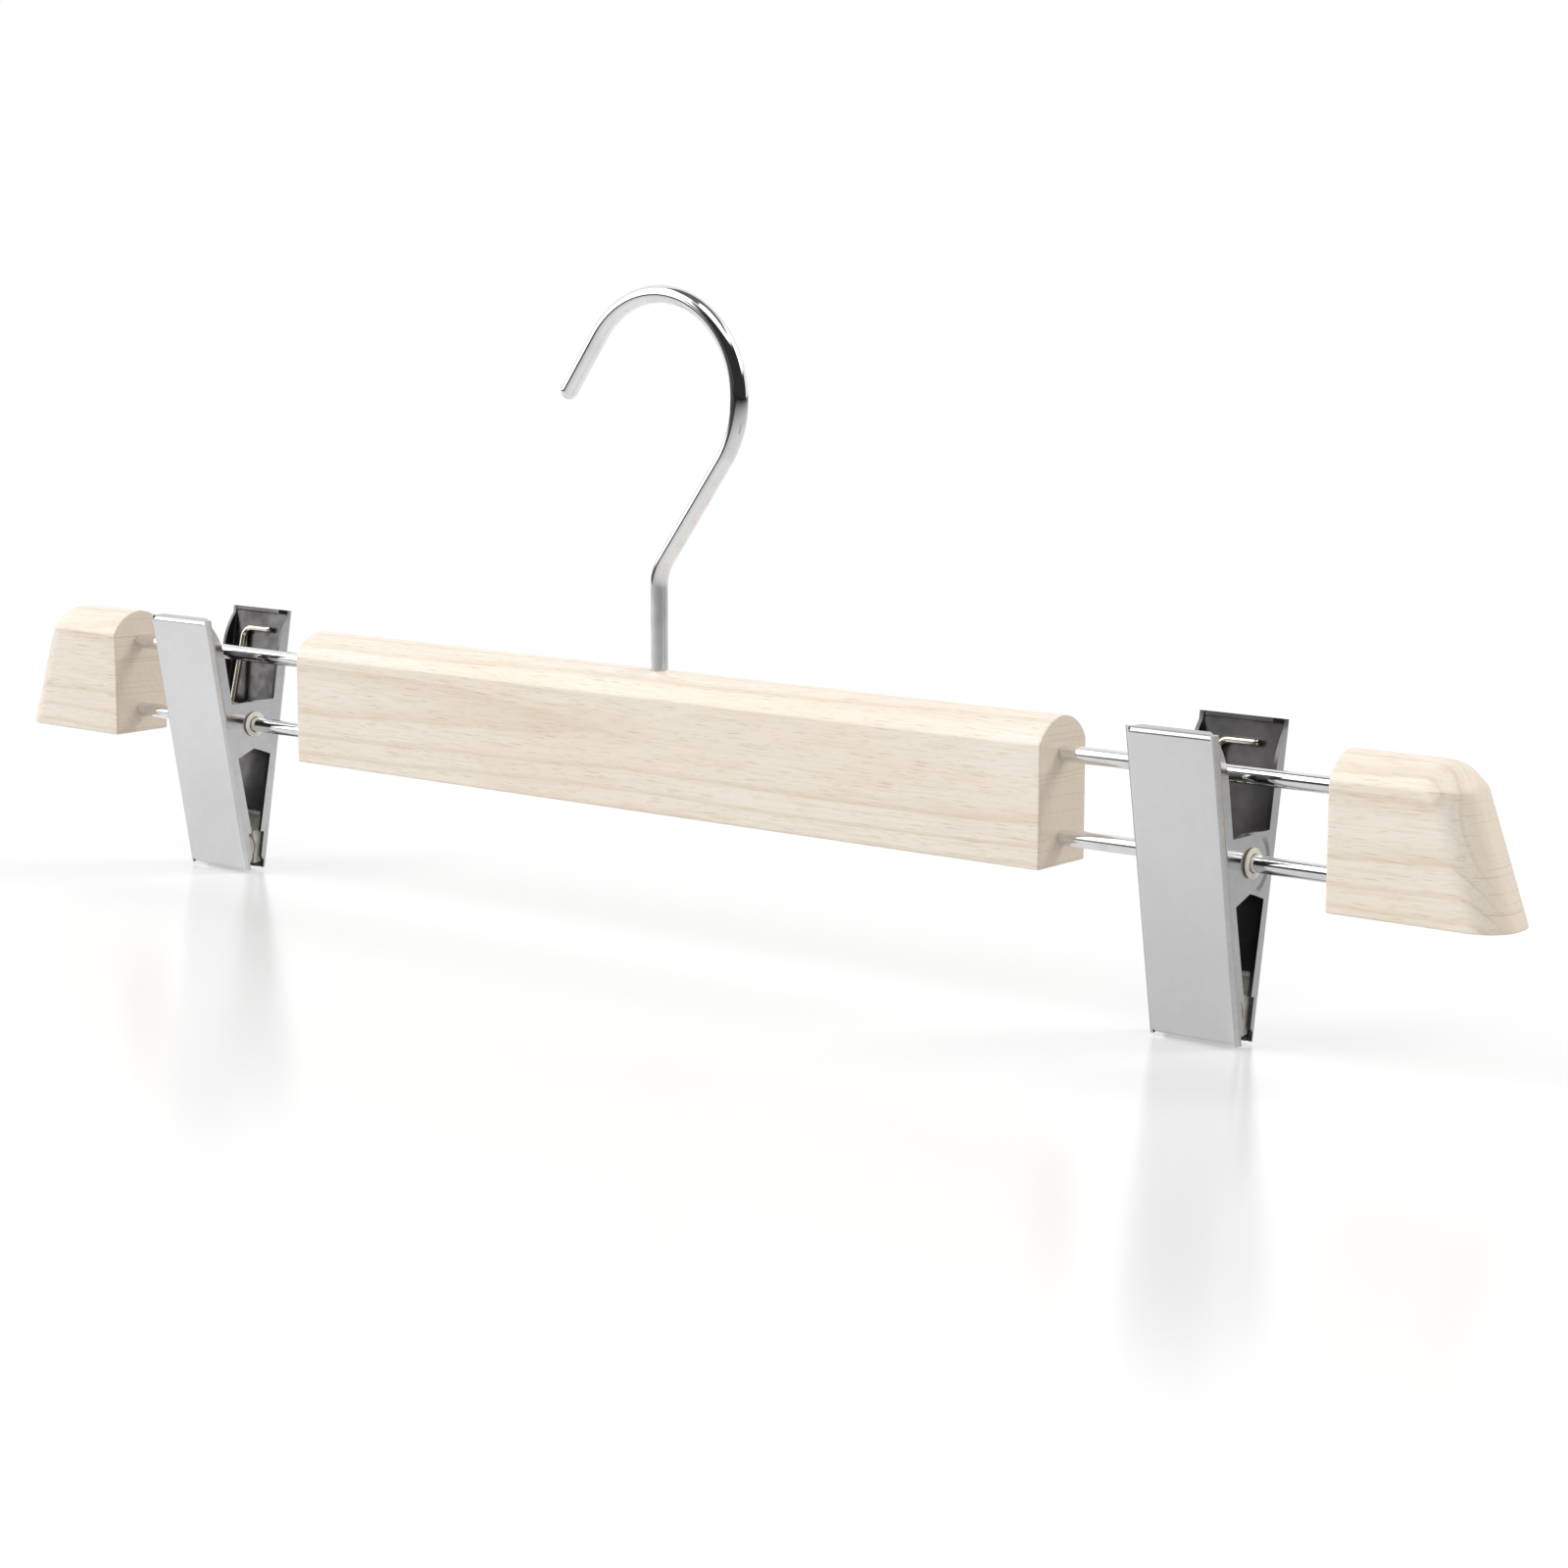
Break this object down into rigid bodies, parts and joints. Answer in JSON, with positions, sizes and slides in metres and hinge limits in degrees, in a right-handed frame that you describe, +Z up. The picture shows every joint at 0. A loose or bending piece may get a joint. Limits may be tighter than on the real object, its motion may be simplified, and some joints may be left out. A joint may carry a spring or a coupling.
{
  "type": "skirt hanger",
  "caption": "Wooden skirt hanger with a swivelling wire hook, tapered end blocks on paired rods, and sprung metal clips with soft pads that slide along the rods.",
  "frame": {"origin": "the underside of the hook's crown, on the axis of its stem, where a wardrobe rail carries the hanger", "axes": "+X along the bar to the right as seen from the front, +Y to the back, +Z up along the hook's stem"},
  "size_m": [0.3838, 0.026, 0.1324],
  "materials": {
    "wood": "pale beech under a thin clear satin lacquer",
    "rods": "bright plated steel",
    "hook": "bright plated steel wire",
    "jaws": "nickel-plated sheet steel, satin outside and brighter on the ears",
    "springs": "nickel-plated spring wire, slightly yellow",
    "bushes": "natural off-white moulded plastic",
    "pads": "soft translucent grey-beige vinyl"
  },
  "bodies": {
    "hook": {"hook": "hook"},
    "bar": {"centre_bar": "wood", "left_end_block": "wood", "right_end_block": "wood", "left_upper_rod": "rods", "left_lower_rod": "rods", "right_upper_rod": "rods", "right_lower_rod": "rods", "hook_washer": "hook"},
    "left_carriage": {"left_inner_bush": "bushes", "left_outer_bush": "bushes"},
    "left_swing": {"left_spring": "springs"},
    "left_front": {"left_front_jaw": "jaws", "left_front_pad": "pads"},
    "left_back": {"left_back_jaw": "jaws", "left_back_pad": "pads"},
    "right_carriage": {"right_inner_bush": "bushes", "right_outer_bush": "bushes"},
    "right_swing": {"right_spring": "springs"},
    "right_front": {"right_front_jaw": "jaws", "right_front_pad": "pads"},
    "right_back": {"right_back_jaw": "jaws", "right_back_pad": "pads"}
  },
  "joints": [
    {"name": "hook_swivel", "type": "hinge", "parent": "hook", "child": "bar", "pos_m": [0, 0, -0.073], "axis": [0, 0, 1], "continuous": true},
    {"name": "left_clip_slide", "type": "slide", "parent": "bar", "child": "left_carriage", "axis": [1, 0, 0], "range_m": [-0.0176, 0.021]},
    {"name": "left_clip_swing", "type": "hinge", "parent": "left_carriage", "child": "left_swing", "pos_m": [-0.13, 0, -0.0957], "axis": [1, 0, 0], "range_deg": [-7, 7]},
    {"name": "left_front_squeeze", "type": "hinge", "parent": "left_swing", "child": "left_front", "pos_m": [-0.13, 0, -0.0957], "axis": [-1, 0, 0], "range_deg": [0, 14], "stiffness_Nm_per_rad": 1.2, "springref_deg": -27.5, "deforming": ["left_spring"]},
    {"name": "left_back_squeeze", "type": "hinge", "parent": "left_swing", "child": "left_back", "pos_m": [-0.13, 0, -0.0957], "axis": [1, 0, 0], "range_deg": [0, 14], "deforming": ["left_spring"]},
    {"name": "right_clip_slide", "type": "slide", "parent": "bar", "child": "right_carriage", "axis": [1, 0, 0], "range_m": [-0.0204, 0.0182]},
    {"name": "right_clip_swing", "type": "hinge", "parent": "right_carriage", "child": "right_swing", "pos_m": [0.1294, 0, -0.0957], "axis": [1, 0, 0], "range_deg": [-7, 7]},
    {"name": "right_front_squeeze", "type": "hinge", "parent": "right_swing", "child": "right_front", "pos_m": [0.1294, 0, -0.0957], "axis": [-1, 0, 0], "range_deg": [0, 14], "stiffness_Nm_per_rad": 1.2, "springref_deg": -27.5, "deforming": ["right_spring"]},
    {"name": "right_back_squeeze", "type": "hinge", "parent": "right_swing", "child": "right_back", "pos_m": [0.1294, 0, -0.0957], "axis": [1, 0, 0], "range_deg": [0, 14], "deforming": ["right_spring"]}
  ],
  "couplings": [
    {"joint": "left_back_squeeze", "follows": "left_front_squeeze", "ratio": 1},
    {"joint": "right_back_squeeze", "follows": "right_front_squeeze", "ratio": 1}
  ]
}
